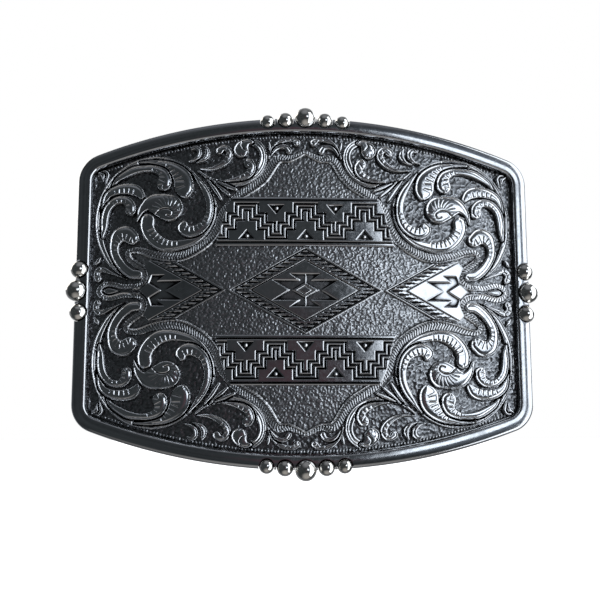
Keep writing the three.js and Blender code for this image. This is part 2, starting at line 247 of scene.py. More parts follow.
def rounded(depth, reach, fall):
    """How far an edge is rounded over, next to its outline."""
    return fall * np.clip(1 - depth / reach, 0, 1) ** 2


def pit(corners, x, z, wall, start):
    """1 on the floor of a pit with sloping walls, 0 outside it."""
    return np.clip(polygon_depth(corners, x, z) / wall + start, 0, 1)


def domed(trace, top):
    """The round top of a stroke that is too narrow for a lip."""
    return top - 0.2 * (trace.across / trace.width) ** 2


def bead(position, start, end, power=2):
    """A rounded ridge between two places, 1 in its middle and flatter on top with a higher power."""
    share = np.clip((position - start) / np.maximum(end - start, 0.05), 0, 1)
    return 1 - np.abs(2 * share - 1) ** power


class Relief:
    """A grid of heights that strokes are laid on, one over another."""

    def __init__(self, low_x, high_x, low_z, high_z, pitch=0.09):
        self.x, self.z = grid(low_x, high_x, low_z, high_z, pitch)
        self.floor = GROUND_TOP - GROUND_SINK
        self.height = np.full(self.x.shape, float(self.floor))
        self.depth = np.full(self.x.shape, -1.0)

    def lay(self, trace, surface, top):
        margin = 0.26 * ramp(trace.width / 0.5) + 0.05
        channel = top - CHANNEL_DEPTH * (1 - ramp(-trace.depth / margin))
        beside = (trace.depth < 0) & (trace.depth > -margin)
        self.height = np.where(beside, np.minimum(self.height, channel), self.height)
        rise = (top - self.floor) * (1 - ramp(trace.depth / EDGE_SLOPE))
        self.height = np.where(trace.depth >= 0, surface - rise, self.height)
        self.depth = np.maximum(self.depth, trace.depth)

    def leaf(self, points, top, outer=1, ticks=None):
        """A curled leaf: a round lip along its outer edge and a full body with ticks cut from inside."""
        t = Trace(points, self.x, self.z)
        from_outer = t.width - outer * t.across
        from_inner = t.width + outer * t.across
        broad = ramp((t.width - 0.42) / 0.2)
        body = bead(from_outer, LIP, 2 * t.width, 4)
        worked = top - LIP_RISE + LIP_RISE * (bead(from_outer, 0, LIP) + 0.8 * body)
        surface = broad * worked + (1 - broad) * domed(t, top)
        if ticks:
            start, end = ticks
            reach = t.along / t.length
            where = ramp((reach - start) / 0.05) * ramp((end - reach) / 0.05)
            nearest = np.abs((t.along / TICK_SPACING) % 1 - 0.5) * TICK_SPACING
            inside = ramp((from_inner - 0.15) / 0.2) * ramp((1.2 * t.width - from_inner) / 0.3)
            surface -= TICK_DEPTH * broad * where * inside * vee(nearest, TICK_HALF_WIDTH)
        self.lay(t, surface, top)

    def stem(self, points, top, outer=1):
        """A long stem of two or three round ridges side by side."""
        t = Trace(points, self.x, self.z)
        from_outer = t.width - outer * t.across
        broad = ramp((t.width - 0.34) / 0.14)
        wide = ramp((t.width - 0.66) / 0.1)
        one = bead(from_outer, LIP, 2 * t.width)
        two = bead(from_outer, LIP, 2 * LIP) + bead(from_outer, 2 * LIP, 2 * t.width)
        ridges = bead(from_outer, 0, LIP) + wide * two + (1 - wide) * one
        worked = top - LIP_RISE + LIP_RISE * ridges
        self.lay(t, broad * worked + (1 - broad) * domed(t, top), top)

    def cut(self, points, half_width, deep):
        """An engraved line."""
        t = Trace([(x, z, half_width) for x, z in points], self.x, self.z, reach=half_width * 2)
        inside = self.depth > 0.1
        self.height -= deep * bump(np.minimum(t.depth - half_width, 0), half_width) * inside

    def rays(self, centre, start, end, count, first, last):
        """Ticks that radiate from a centre between two angles."""
        dx = self.x - centre[0]
        dz = self.z - centre[1]
        radius = np.hypot(dx, dz)
        angle = np.arctan2(dz, dx)
        sector = 2 * math.pi / count
        offset = (angle - RAY_TWIST * radius) % sector - sector / 2
        turned = (np.degrees(angle) - first) % 360
        reach = ramp((radius - start) / 0.3) * ramp((end - radius) / 0.2) * (turned < last - first)
        self.height -= RAY_DEPTH * reach * vee(offset * radius, RAY_HALF_WIDTH)

    def finish(self):
        self.height = blur(self.height, 1) * 0.25 + self.height * 0.75
        return self


def draw_corner_scroll():
    """The large scroll of the upper left quarter."""
    relief = Relief(-40.2, -15.8, 1.2, 26.4)
    top = SCROLL_TOP
    relief.stem([
        (-32.4, 2.4, 0.35), (-34.6, 3.35, 0.45), (-36.4, 5.0, 0.55), (-37.7, 7.2, 0.62),
        (-38.6, 9.8, 0.72), (-38.9, 13.2, 0.82), (-38.5, 16.3, 0.85), (-37.5, 19.1, 0.85),
        (-35.6, 21.8, 0.85), (-32.9, 23.85, 0.85), (-29.9, 24.85, 0.82), (-26.8, 24.95, 0.75),
        (-23.7, 23.9, 0.68), (-20.9, 21.9, 0.62), (-18.4, 19.1, 0.56), (-17.05, 16.2, 0.52),
        (-17.15, 14.2, 0.45),
    ], top - 0.1)
    relief.leaf([
        (-17.0, 15.6, 0.42), (-17.35, 13.6, 0.5), (-18.2, 11.8, 0.56), (-19.5, 10.3, 0.66),
        (-21.4, 9.15, 0.82), (-23.8, 8.55, 1.02), (-25.6, 8.45, 1.18), (-27.35, 8.95, 1.38),
        (-28.95, 10.35, 1.4), (-29.75, 12.0, 1.4), (-29.7, 13.3, 1.4),
    ], top - 0.06, ticks=(0.5, 0.95))
    relief.leaf([
        (-21.5, 22.8, 0.25), (-20.15, 21.0, 0.52), (-18.95, 19.1, 0.75), (-18.2, 17.3, 0.8),
        (-18.0, 15.6, 0.82), (-18.2, 14.1, 0.88), (-18.9, 12.5, 0.95), (-20.4, 11.35, 1.15),
        (-21.9, 11.1, 1.25), (-23.0, 11.75, 1.15), (-22.85, 12.5, 0.8),
    ], top, ticks=(0.5, 1.0))
    relief.leaf([
        (-31.4, 24.6, 0.25), (-29.4, 24.65, 0.4), (-27.6, 24.4, 0.62), (-25.85, 23.95, 0.85),
        (-24.3, 22.7, 1.45), (-23.2, 21.3, 1.8), (-22.9, 19.7, 1.9), (-22.55, 18.4, 0.95),
    ], top, ticks=(0.35, 0.95))
    relief.leaf([
        (-36.6, 19.9, 0.3), (-35.6, 21.3, 0.55), (-34.1, 22.3, 0.72), (-32.4, 23.1, 0.8),
        (-30.4, 23.4, 0.68), (-28.6, 23.3, 0.76), (-27.05, 22.45, 1.05), (-26.6, 21.2, 1.35),
        (-26.75, 20.4, 1.5),
    ], top, ticks=(0.6, 1.2))
    relief.leaf([
        (-38.4, 14.8, 0.3), (-38.0, 16.7, 0.55), (-37.4, 18.2, 0.72), (-36.2, 19.05, 0.9),
        (-34.7, 19.45, 1.08), (-33.1, 19.45, 1.17), (-31.75, 19.0, 1.1), (-30.8, 18.0, 0.7),
    ], top - 0.04, ticks=(0.4, 0.92))
    relief.leaf([
        (-38.15, 10.2, 0.35), (-37.95, 12.1, 0.68), (-37.85, 13.9, 0.78), (-37.4, 15.6, 0.78),
        (-36.25, 16.95, 0.76), (-35.0, 17.4, 0.8), (-33.75, 17.15, 0.9), (-33.05, 16.2, 1.08),
        (-33.0, 15.3, 1.13),
    ], top, ticks=(0.5, 1.2))
    relief.leaf([
        (-31.3, 2.95, 0.95), (-32.7, 3.2, 1.0), (-34.5, 4.75, 0.95), (-35.75, 6.9, 0.92),
        (-35.85, 8.8, 1.02), (-35.1, 10.4, 1.42), (-33.7, 10.8, 1.6), (-32.55, 10.05, 1.4),
    ], top - 0.02, ticks=(0.45, 1.2))
    relief.leaf([
        (-31.7, 13.1, 0.25), (-31.05, 15.1, 0.7), (-29.8, 16.4, 1.2), (-28.4, 16.6, 1.88),
        (-27.0, 16.2, 2.35), (-25.65, 15.75, 2.65),
    ], top)
    relief.rays((-26.2, 14.9), 1.1, 3.0, 20, -40, 185)
    eye = [(-28.3, 14.4), (-27.2, 15.4), (-25.9, 15.5), (-25.0, 14.9), (-25.3, 14.1), (-26.1, 14.3)]
    relief.cut(eye, 0.13, 0.26)
    return relief.finish()


def draw_crest_scroll():
    """The smaller scroll beside the top middle, with its leaves and buds."""
    relief = Relief(-23.6, -6.2, 16.6, 30)
    top = SCROLL_TOP - 0.15
    relief.leaf([
        (-22.2, 24.7, 0.2), (-21.0, 25.1, 0.4), (-20.2, 25.9, 0.55), (-20.2, 26.9, 0.6),
        (-20.9, 27.4, 0.5), (-21.6, 27.1, 0.35),
    ], top, outer=-1)
    relief.leaf([
        (-20.6, 24.5, 0.2), (-19.3, 25.0, 0.45), (-18.6, 25.9, 0.62), (-18.6, 26.8, 0.56),
        (-19.0, 27.6, 0.3),
    ], top, outer=-1)
    relief.stem([
        (-20.3, 22.9, 0.25), (-18.3, 21.4, 0.42), (-16.2, 20.6, 0.6), (-13.9, 20.4, 0.75),
        (-11.7, 20.9, 0.85), (-9.6, 22.2, 0.9), (-8.35, 23.9, 0.88), (-7.95, 25.8, 0.82),
        (-8.55, 27.5, 0.82), (-9.8, 28.45, 0.8), (-11.0, 28.6, 0.7),
    ], top, outer=-1)
    relief.leaf([
        (-19.9, 23.25, 0.22), (-18.0, 23.25, 0.42), (-16.2, 23.85, 0.62), (-14.9, 24.9, 0.74),
        (-14.35, 26.1, 0.78), (-14.75, 27.1, 0.72), (-15.6, 27.4, 0.66), (-16.3, 26.8, 0.85),
    ], top, outer=-1, ticks=(0.45, 0.9))
    relief.leaf([
        (-15.4, 20.9, 0.25), (-13.2, 21.2, 0.5), (-11.6, 21.7, 0.76), (-10.5, 22.5, 0.86),
        (-10.15, 23.6, 0.92), (-10.7, 24.35, 1.08),
    ], top, outer=-1, ticks=(0.4, 1.1))
    relief.leaf([
        (-10.1, 28.5, 0.4), (-11.1, 28.5, 0.75), (-12.0, 27.6, 1.3), (-12.2, 26.95, 1.55),
    ], top + 0.05, outer=-1)
    relief.cut([(-11.9, 28.6), (-12.1, 27.8), (-11.6, 27.1), (-10.9, 26.6), (-11.3, 25.7)], 0.12, 0.3)
    relief.rays((-12.6, 26.6), 0.5, 1.3, 16, 100, 330)
    relief.leaf([(-6.75, 26.9, 0.2), (-6.8, 27.7, 0.42), (-6.95, 28.4, 0.3)], top)
    tails = [
        [(-18.6, 21.2), (-17.2, 19.4), (-15.9, 17.4)],
        [(-17.6, 21.1), (-15.9, 19.5), (-14.4, 18.2)],
        [(-16.6, 20.7), (-14.8, 19.9), (-13.1, 19.2)],
    ]
    for tail in tails:
        relief.leaf([(x, z, w) for (x, z), w in zip(tail, (0.25, 0.45, 0.36))], top, outer=-1)
    return relief.finish()


def draw_peak_curl():
    """The two small curls that meet at the top middle."""
    relief = Relief(-7.2, -0.2, 25, 30)
    top = SCROLL_TOP - 0.15
    relief.leaf([
        (-6.9, 25.4, 0.25), (-6.2, 27.2, 0.42), (-5.1, 28.4, 0.52), (-3.8, 29.0, 0.54), (-2.4, 29.1, 0.55),
        (-1.6, 28.5, 0.78),
    ], top, ticks=(0.6, 1.2))
    relief.leaf([
        (-6.4, 26.0, 0.22), (-5.6, 27.1, 0.42), (-4.6, 27.65, 0.5), (-3.6, 27.5, 0.55), (-3.1, 26.8, 0.65),
    ], top)
    return relief.finish()


def draw_corner_leaf():
    """The small leaf in the corner of the rim."""
    relief = Relief(-40, -36, 19.5, 24.2)
    top = SCROLL_TOP - 0.25
    relief.leaf([
        (-37.9, 20.3, 0.2), (-38.2, 21.4, 0.42), (-38.5, 22.3, 0.5), (-39.2, 22.7, 0.3),
    ], top, outer=-1)
    relief.leaf([
        (-37.9, 20.3, 0.2), (-37.7, 21.4, 0.36), (-37.5, 22.3, 0.42), (-38.0, 23.0, 0.34),
        (-38.8, 23.0, 0.2),
    ], top, outer=-1)
    return relief.finish()


def draw_medallion():
    """Upper half of the side medallion: a ticked ribbon round a plain petal, a curl and a bud."""
    relief = Relief(-40.2, -32.6, -0.6, 7)
    top = PANEL_TOP
    petal = Trace([(-34.4, -0.5, 0.45), (-35.6, -0.3, 0.65), (-36.9, -0.2, 0.95), (-37.4, -0.3, 0.9)],
                  relief.x, relief.z)
    relief.lay(petal, top - 0.1 - 0.06 * (1 - ramp(petal.depth / 0.5)), top - 0.1)
    ribbon = Trace([(x, z, 0.62) for x, z in RIBBON_END], relief.x, relief.z)
    relief.lay(ribbon, ribbon_surface(ribbon, top), top)
    top = SCROLL_TOP - 0.25
    relief.leaf([
        (-33.4, 2.1, 0.14), (-34.6, 2.6, 0.22), (-35.8, 3.15, 0.32), (-36.8, 3.6, 0.46),
        (-37.8, 4.0, 0.58), (-38.7, 3.9, 0.68), (-39.1, 3.1, 0.68), (-38.85, 2.35, 0.75),
    ], top, ticks=(0.6, 1.1))
    relief.leaf([(-38.4, 6.3, 0.2), (-38.9, 5.7, 0.48), (-39.3, 5.1, 0.3)], top)
    return relief.finish()


# ---- Panel, bands and diamonds ----

DIAMOND = {"width": 14.7, "height": 8.33, "period": 1.25, "tooth": 2.7, "inner": 0.69}
SLOPE = DIAMOND["height"] / DIAMOND["width"]
SQUARE_ON = SLOPE / math.hypot(1, SLOPE)
PERIOD = 11.1
RIB_STEP = 0.66
UPPER_SHIFT = 0.1
STIPPLE_DEPTH = 0.048
RIBBON_BORDER = 0.34
RIBBON_SINK = 0.22
BRAID_SPACING = 0.52

RIBBON = [
    (0, 26.75, 0.5), (-1.5, 26.0, 0.6), (-3.1, 25.4, 0.75), (-4.8, 25.5, 0.95), (-5.9, 24.55, 1.0),
    (-6.75, 23.1, 1.0), (-7.8, 21.6, 1.0), (-9.2, 20.3, 1.0), (-10.8, 19.25, 1.0), (-12.1, 18.4, 1.0),
    (-13.2, 17.4, 1.0), (-14.2, 16.3, 1.0), (-15.2, 15.0, 1.0), (-15.8, 13.7, 1.0), (-16.2, 12.4, 0.95),
    (-16.9, 11.1, 0.9), (-18.0, 9.6, 0.9), (-20.2, 7.95, 0.95), (-22.6, 6.75, 1.0), (-25.0, 6.4, 1.0),
    (-28.2, 6.8, 0.85), (-30.8, 7.6, 0.7), (-32.8, 7.7, 0.6), (-33.4, 6.8, 0.6), (-32.9, 5.9, 0.65),
    (-31.6, 4.9, 0.65), (-30.5, 4.1, 0.65), (-29.95, 3.0, 0.65), (-30.3, 1.75, 0.65), (-31.3, 1.0, 0.62),
    (-32.6, 0.85, 0.62),
]
RIBBON_END = [
    (-32.4, 0.86), (-34.2, 0.8), (-35.6, 1.15), (-36.8, 1.35), (-37.9, 1.05), (-38.55, 0.3), (-38.7, -0.5),
]


def ribbon_surface(trace, top):
    """A dark ribbon with braided ticks and one bright border line, on the panel's side."""
    braid = trace.along + 0.55 * np.abs(trace.across - 0.2)
    nearest = np.abs((braid / BRAID_SPACING) % 1 - 0.5) * BRAID_SPACING
    inner = trace.width - trace.across
    outer = trace.width + trace.across
    body = 0.04 * bead(outer, 0, 2 * trace.width - RIBBON_BORDER)
    ticked = ramp((inner - RIBBON_BORDER) / 0.12) * ramp((outer - 0.1) / 0.15)
    worked = body - 0.12 * ticked * vee(nearest, 0.2)
    return top - RIBBON_SINK + worked + RIBBON_SINK * bead(inner, 0, RIBBON_BORDER)


def zigzag(x, z):
    """Square-cornered distance to the stepped line between the band's peaks and valleys."""
    p = np.abs((x + PERIOD / 2) % PERIOD - PERIOD / 2)
    levels = [15.84, 13.97, 12.2, 10.42]
    walls = [1.34, 2.87, 4.41]
    squeeze = 0.84
    nearest = np.full(x.shape, 1e9)
    starts = [0] + walls
    ends = walls + [PERIOD / 2]
    for level, start, end in zip(levels, starts, ends):
        sideways = np.maximum(np.maximum(start - p, p - end), 0) * squeeze
        nearest = np.minimum(nearest, np.maximum(sideways, np.abs(z - level)))
    for wall, high, low in zip(walls, levels, levels[1:]):
        upright = np.maximum(np.maximum(low - z, z - high), 0)
        nearest = np.minimum(nearest, np.maximum(upright, np.abs(p - wall) * squeeze))
    return nearest


def band_height(x, z):
    """Upper stepped band, for z > 0."""
    steps = zigzag(x, z)
    cut = np.maximum(vee(steps, 0.27), vee(steps - RIB_STEP, 0.25))
    for side in (-1, 0, 1):
        for centre, base, tip in ((side * PERIOD, 9.7, 11.5), ((side + 0.5) * PERIOD, 16.25, 14.5)):
            hole = pit([(centre - 1.5, base), (centre + 1.5, base), (centre, tip)], x, z, 0.28, 0.3)
            nub = np.hypot(x - centre, z - base * 0.65 - tip * 0.35)
            cut = np.maximum(cut, hole * (1 - 0.8 * vee(nub, 0.42)))
    lines = np.maximum(vee(z - BAND_LOW - 0.68, 0.22), vee(BAND_HIGH - 0.16 - z, 0.2))
    return BAND_TOP - 0.36 * np.maximum(cut, lines)


def spikes(z, inset):
    """Wedges cut across a diamond's toothed border. inset is the distance from the outer edge, along x."""
    tooth = DIAMOND["tooth"]
    across = inset - 1.3
    from_line = np.abs((z / (SLOPE * DIAMOND["period"]) + 0.5) % 1 - 0.5) * DIAMOND["period"] * SLOPE
    half_width = 0.27 * np.clip(1 - across / tooth, 0, 1) + 0.02
    return np.clip(1.25 - from_line / half_width, 0, 1) * ramp(across / 0.12) * ramp((tooth - across) / 0.2)


def diamond_surface(inset, cuts, inner):
    """A diamond's face: cuts, the line round its middle, and a raised border with a groove beside it."""
    edge = inset * SQUARE_ON
    low = np.maximum.reduce([*cuts, 0.8 * vee(inner * SQUARE_ON, 0.16), 1.1 * vee(edge - 0.48, 0.17)])
    return BAND_TOP - 0.12 - 0.28 * low + 0.12 * bead(edge, -0.02, 0.38)


def centre_diamond_height(x, z):
    x = np.abs(x)
    z = np.abs(z)
    inset = DIAMOND["width"] - x - z / SLOPE
    inner = DIAMOND["width"] * (1 - DIAMOND["inner"]) - inset
    recess = [(0, 3.1), (2.8, 3.1), (1.15, 1.9), (6.1, 1.9), (3.1, 0), (3.1, -0.5), (0, -0.5)]
    hole = pit(recess, x, z, 0.25, 0.4)
    island = (1 - x / 2.35 - z / 1.4) * 1.2
    hole *= 1 - np.clip(island / 0.25 + 0.5, 0, 1)
    hole = np.maximum(hole, 0.6 * vee(island - 0.5, 0.16))
    return diamond_surface(inset, (spikes(z, inset), hole), inner)


def side_diamond_height(x, z):
    """Half diamond beyond the crossing, for the left side."""
    z = np.abs(z)
    inset = -x - CROSSING - z / SLOPE
    inner = -x - 19.0 - z / 0.557
    recess = [(-26, -0.5), (-26, 0), (-23, 1.8), (-27.7, 1.8), (-26.3, 2.9), (-28.7, 2.9), (-29.3, 1.4)]
    recess += [(-27.1, 0), (-27.1, -0.5)]
    hole = pit(recess, x, z, 0.25, 0.4)
    return diamond_surface(inset, (spikes(z, inset) * (inner < 0), hole), inner)


def draw_panel():
    """Upper left quarter of the panel below the bands and diamonds: stippled fields inside a ticked ribbon.

    Returns the grid, the depth inside the panel's outline, the height, and where the stippled fields are."""
    x, z = grid(-34.2, 0, 0, 28.0, 0.12)
    ribbon = Trace(RIBBON, x, z, reach=1.2)
    path = smooth_path(RIBBON, 0.4)[:, :2]
    outline_points = [tuple(p) for p in path] + [(-32.6, -1), (1, -1), (1, 26.75)]
    depth = np.maximum(polygon_depth(outline_points, x, z), ribbon.depth)
    on_ribbon = ramp((ribbon.depth + 0.02) / 0.1)
    field = 1 - on_ribbon
    height = (PANEL_TOP - 0.26) * field + ribbon_surface(ribbon, PANEL_TOP) * on_ribbon
    height -= 0.3 * (1 - ramp(depth / 0.15))
    return x, z, depth, height, field


def whole_from_quarter(field, sign_x=1, sign_z=1):
    """Mirrors a field of x <= 0, z >= 0 to the right and down."""
    upper = np.concatenate([field, sign_x * field[-2::-1]], axis=0)
    return np.concatenate([sign_z * upper[:, :0:-1], upper], axis=1)


# ---- Meshes ----

SHARP_ANGLE = 50
REAR_SPACING = 3.0


def make_object(name, points, faces, node, slot, material, body="buckle", oxide_and_shade=None):
    """A visible piece that stands for a node, with an oxide_and_shade value from 0 to 1 for each point:
    oxide left in hollows, and painted shade such as on the backs of the balls.
    """
    mesh = bpy.data.meshes.new(name)
    mesh.from_pydata((np.asarray(points, float) * MM).tolist(), [], faces)
    mesh.polygons.foreach_set("use_smooth", [True] * len(mesh.polygons))
    mesh.set_sharp_from_angle(angle=math.radians(SHARP_ANGLE))
    attribute = mesh.attributes.new("oxide_and_shade", "FLOAT", "POINT")
    if oxide_and_shade is not None:
        attribute.data.foreach_set("value", np.asarray(oxide_and_shade, np.float32))
    mesh.materials.append(material)
    piece = bpy.data.objects.new(name, mesh)
    bpy.context.scene.collection.objects.link(piece)
    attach(piece, body)
    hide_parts(node)
    return piece


def arc(x, y, radius, start, end, steps):
    """Points along an arc between two angles in degrees, both ends included."""
    angles = np.radians(np.linspace(start, end, steps + 1))
    return list(zip(x + radius * np.cos(angles), y + radius * np.sin(angles)))


def circle(x, y, radius, sides):
    return arc(x, y, radius, 0, 360, sides)[:-1]


def strip(first, second, count):
    """Quads between two rings of points, given the number of each ring's first point."""
    after = [(i + 1) % count for i in range(count)]
    return [[first + i, first + j, second + j, second + i] for i, j in enumerate(after)]


def tidy_cells(cells):
    """Fills cells that touch only at a corner, so that the cut edge is one clean loop."""
    for _ in range(4):
        a, b = cells[:-1, :-1], cells[1:, 1:]
        c, d = cells[1:, :-1], cells[:-1, 1:]
        falling = a & b & ~c & ~d
        rising = c & d & ~a & ~b
        cells[1:, :-1] |= falling
        cells[:-1, :-1] |= rising
    return cells


def edge_loops(cells, index):
    """Directed edges round the kept cells, with the cells on their left as seen from the front."""
    padded = np.pad(cells, 1)
    here = padded[1:-1, 1:-1]
    sides = [
        (here & ~padded[1:-1, :-2], index[:-1, :-1], index[1:, :-1]),
        (here & ~padded[2:, 1:-1], index[1:, :-1], index[1:, 1:]),
        (here & ~padded[1:-1, 2:], index[1:, 1:], index[:-1, 1:]),
        (here & ~padded[:-2, 1:-1], index[:-1, 1:], index[:-1, :-1]),
    ]
    return np.vstack([np.stack([start[open_], end[open_]], 1) for open_, start, end in sides])


def rear_faces(places, edges, cells, x, z):
    """A few large triangles that close the rear between the edge loops; returns extra points and faces."""
    used = np.unique(edges)
    local = {int(v): k for k, v in enumerate(used)}
    flat = [Vector(places[v]) for v in used]
    pitch = x[1, 0] - x[0, 0]
    step = max(1, int(REAR_SPACING / pitch))
    kept = cells.copy()
    for _ in range(2):
        kept[1:-1, 1:-1] &= kept[:-2, 1:-1] & kept[2:, 1:-1] & kept[1:-1, :-2] & kept[1:-1, 2:]
    extra = []
    wide, high = cells.shape
    for i in range(wide // 2 % step, wide - 1, step):
        for j in range(high // 2 % step, high - 1, step):
            if i > 0 and j > 0 and kept[i, j] and kept[i - 1, j - 1]:
                extra.append(Vector((x[i, j], z[i, j])))
    pairs = [(local[int(a)], local[int(b)]) for a, b in edges]
    points, _, triangles, origin, _, _ = geometry.delaunay_2d_cdt(flat + extra, pairs, [], 1, 1e-7)
    faces = []
    for triangle in triangles:
        middle = sum((points[k] for k in triangle), Vector((0, 0))) / 3
        i = int((middle.x - x[0, 0]) / pitch)
        j = int((middle.y - z[0, 0]) / pitch)
        if 0 <= i < wide and 0 <= j < high and cells[i, j]:
            faces.append([origin[k][0] for k in triangle])
    return used, extra, faces


def relief_mesh(x, z, depth, height, rear, mirror):
    """A closed mesh cut from a grid where depth > 0: the worked front, walls and a plain rear."""
    middle = (depth[:-1, :-1] + depth[1:, :-1] + depth[:-1, 1:] + depth[1:, 1:]) / 4
    cells = tidy_cells(middle > 0)
    index = np.arange(x.size).reshape(x.shape)
    edges = edge_loops(cells, index)
    rim = np.unique(edges)
    pitch = x[1, 0] - x[0, 0]
    slope_x, slope_z = (slope.ravel()[rim] for slope in np.gradient(depth, pitch))
    steep = np.maximum(slope_x**2 + slope_z**2, 0.2)
    shift = np.clip(depth.ravel()[rim] / steep, -0.6 * pitch, 0.6 * pitch)
    px = x.flatten()
    pz = z.flatten()
    px[rim] -= shift * slope_x
    pz[rim] -= shift * slope_z
    quads = np.stack([index[:-1, :-1], index[1:, :-1], index[1:, 1:], index[:-1, 1:]], -1)[cells]
    used, extra, rear_tris = rear_faces(np.stack([px, pz], 1), edges, cells, x, z)
    front_used = np.unique(quads)
    count = len(front_used)
    renumber = np.full(x.size, -1)
    renumber[front_used] = np.arange(count)
    sx, sz = mirror
    front_x = px[front_used]
    front = np.stack([sx * front_x, bow(front_x) - height.ravel()[front_used], sz * pz[front_used]], 1)
    rear_x = np.concatenate([px[used], [p.x for p in extra]])
    rear_z = np.concatenate([pz[used], [p.y for p in extra]])
    behind = np.stack([sx * rear_x, bow(rear_x) - rear, sz * rear_z], 1)
    rear_of = {int(v): count + k for k, v in enumerate(used)}
    faces = renumber[quads].tolist()
    faces += [[count + a, count + c, count + b] for a, b, c in rear_tris]
    faces += [[int(renumber[b]), int(renumber[a]), rear_of[int(a)], rear_of[int(b)]] for a, b in edges]
    if sx * sz < 0:
        faces = [face[::-1] for face in faces]
    return np.vstack([front, behind]), faces, front_used, len(behind)


def hollows(height, pitch, outside, depth):
    """How deep each point lies below its surroundings, from 0 to 1."""
    level = np.where(depth > -0.05, height, outside)
    wide = blur(level, max(1, int(0.55 / pitch)))
    fine = blur(level, max(1, int(0.2 / pitch)))
    return np.clip(0.5 + 1.3 * (wide - level) + 1.6 * (fine - level), 0, 1)


def relief_piece(name, x, z, depth, height, rear, outside, mirror=(1, 1), shade=0.0, rear_shade=1.0,
                 **finish):
    """One visible piece cut from a drawing. shade and rear_shade darken its front and its rear."""
    pitch = x[1, 0] - x[0, 0]
    worn = height + 0.006 * noise(mirror[0] * x, mirror[1] * z, 1.7, 5)
    points, faces, used, behind = relief_mesh(x, z, depth, worn, rear, mirror)
    oxide_and_shade = (hollows(height, pitch, outside, depth) + shade).ravel()[used]
    make_object(name, points, faces, oxide_and_shade=np.append(oxide_and_shade, np.full(behind, rear_shade)), **finish)


def quarters():
    for row, up in (("upper", 1), ("lower", -1)):
        for column, across in (("left", 1), ("right", -1)):
            yield f"{row}_{column}", (across, up)


def make_scrolls(material):
    drawings = {
        "corner_scroll": draw_corner_scroll(),
        "crest_scroll": draw_crest_scroll(),
        "peak_curl": draw_peak_curl(),
        "corner_leaf": draw_corner_leaf(),
    }
    for kind, relief in drawings.items():
        for place, mirror in quarters():
            node = f"{kind}_{place}"
            relief_piece(f"{node}_relief", relief.x, relief.z, relief.depth, relief.height, SCROLL_SEAT,
                         GROUND_TOP, mirror, node=node, slot="relief_silver", material=material)


def whole_from_half(relief):
    """Mirrors a drawing of z > 0 about z = 0."""
    pitch = relief.x[1, 0] - relief.x[0, 0]
    zero = round(-relief.z[0, 0] / pitch)
    whole = lambda field, sign: np.concatenate([sign * field[:, :zero:-1], field[:, zero:]], axis=1)
    return whole(relief.x, 1), whole(relief.z, -1), whole(relief.depth, 1), whole(relief.height, 1)


def make_medallions(material):
    x, z, depth, height = whole_from_half(draw_medallion())
    for side, mirror in (("left", (1, 1)), ("right", (-1, 1))):
        node = f"{side}_medallion"
        relief_piece(f"{node}_relief", x, z, depth, height, SCROLL_SEAT, GROUND_TOP, mirror,
                     node=node, slot="relief_silver", material=material)


def band_outline():
    high = BAND_HIGH + 0.3
    right = [(17.0, BAND_LOW), (16.2, 11), (15.6, 13.4), (15.0, 15.4), (13.9, high)]
    return right + [(-x, z) for x, z in reversed(right)]


def make_bands(material):
    x, z = grid(-17.4, 17.4, BAND_LOW - 0.2, BAND_HIGH + 0.5, 0.08)
    depth = polygon_depth(band_outline(), x, z)
    for name, up, shift in (("upper", 1, UPPER_SHIFT), ("lower", -1, 0)):
        height = band_height(x - shift, z) - rounded(depth, 0.24, 0.12)
        relief_piece(f"{name}_band_relief", x, z, depth, height, PANEL_SEAT, PANEL_FLOOR, (1, up),
                     node=f"{name}_step_band", slot="panel_silver", material=material)


def make_diamonds(material):
    reach = CROSSING - 0.08
    x, z = grid(-reach, reach, -8.3, 8.3, 0.09)
    depth = (reach - np.abs(x) - np.abs(z) / SLOPE) * SQUARE_ON
    height = centre_diamond_height(x, z) - rounded(depth, 0.12, 0.1)
    relief_piece("centre_diamond_relief", x, z, depth, height, PANEL_SEAT, PANEL_FLOOR,
                 node="centre_diamond", slot="panel_silver", material=material)
    left = [(-CROSSING - 0.08, 0), (-22.9, 4.55), (-24.1, 5.3), (-26.5, 5.2), (-29.2, 5.75), (-30.2, 4.6)]
    left += [(-29.4, 2.6), (-29.4, 1.5), (-30.4, 0.6), (-31.0, 0)]
    whole = left + [(px, -pz) for px, pz in reversed(left[1:-1])]
    x, z = grid(-31.2, -CROSSING, -6, 6, 0.09)
    depth = polygon_depth(whole, x, z)
    height = side_diamond_height(x, z) - rounded(depth, 0.12, 0.1)
    for side, mirror in (("left", (1, 1)), ("right", (-1, 1))):
        relief_piece(f"{side}_diamond_relief", x, z, depth, height, PANEL_SEAT, PANEL_FLOOR, mirror,
                     node=f"{side}_diamond", slot="panel_silver", material=material)


def make_panel(material):
    x, z, depth, height, field = draw_panel()
    x = whole_from_quarter(x, sign_x=-1)
    z = whole_from_quarter(z, sign_z=-1)
    depth, height, field = (whole_from_quarter(part) for part in (depth, height, field))
    height = height + STIPPLE_DEPTH * field * (noise(x, z, 0.24, 11) + 0.25 * noise(x, z, 0.4, 12))
    relief_piece("pattern_plate_relief", x, z, depth, height, GROUND_TOP - 0.05, GROUND_TOP, shade=0.05,
                 node="pattern_plate", slot="panel_silver", material=material)


# ---- Outline, ground, back plate and rim ----

SEAT_GAP = 0.09
SEAT_REACH = (-8, 4)
RIM_SHARP_ANGLE = 40


